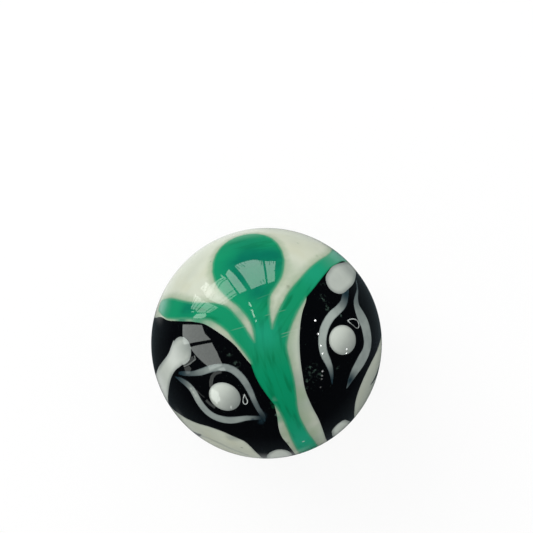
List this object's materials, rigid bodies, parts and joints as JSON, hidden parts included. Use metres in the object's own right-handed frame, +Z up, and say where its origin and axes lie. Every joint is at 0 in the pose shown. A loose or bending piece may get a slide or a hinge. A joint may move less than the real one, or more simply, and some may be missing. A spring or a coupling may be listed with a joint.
{
  "type": "glass marble",
  "caption": "Handmade glass marble: an opal white ball with a green branching figure, black fields and white trails, drops and dots melted in flush.",
  "frame": {"origin": "middle of the ball", "axes": "+Z up through the middle of the decorated face, +X to the side of the eye that stands upright, +Y towards the green head"},
  "size_m": [0.035, 0.035, 0.035],
  "materials": {
    "opal_white_glass": "fire-polished",
    "green_glass": "fire-polished",
    "black_glass": "fire-polished",
    "thin_white_glass": "fire-polished",
    "white_glass": "fire-polished"
  },
  "bodies": {
    "root": {"opal_ball": "opal_white_glass", "green_figure": "green_glass", "black_field_left": "black_glass", "black_field_right": "black_glass", "black_field_back": "black_glass", "left_eye_upper_trail": "thin_white_glass", "left_eye_lower_trail": "thin_white_glass", "left_eye_dot": "white_glass", "right_eye_inner_trail": "thin_white_glass", "right_eye_outer_trail": "thin_white_glass", "right_eye_dot": "white_glass", "white_comma": "white_glass", "upper_drop": "white_glass", "bottom_drop": "white_glass", "lower_drop": "white_glass"}
  },
  "joints": []
}
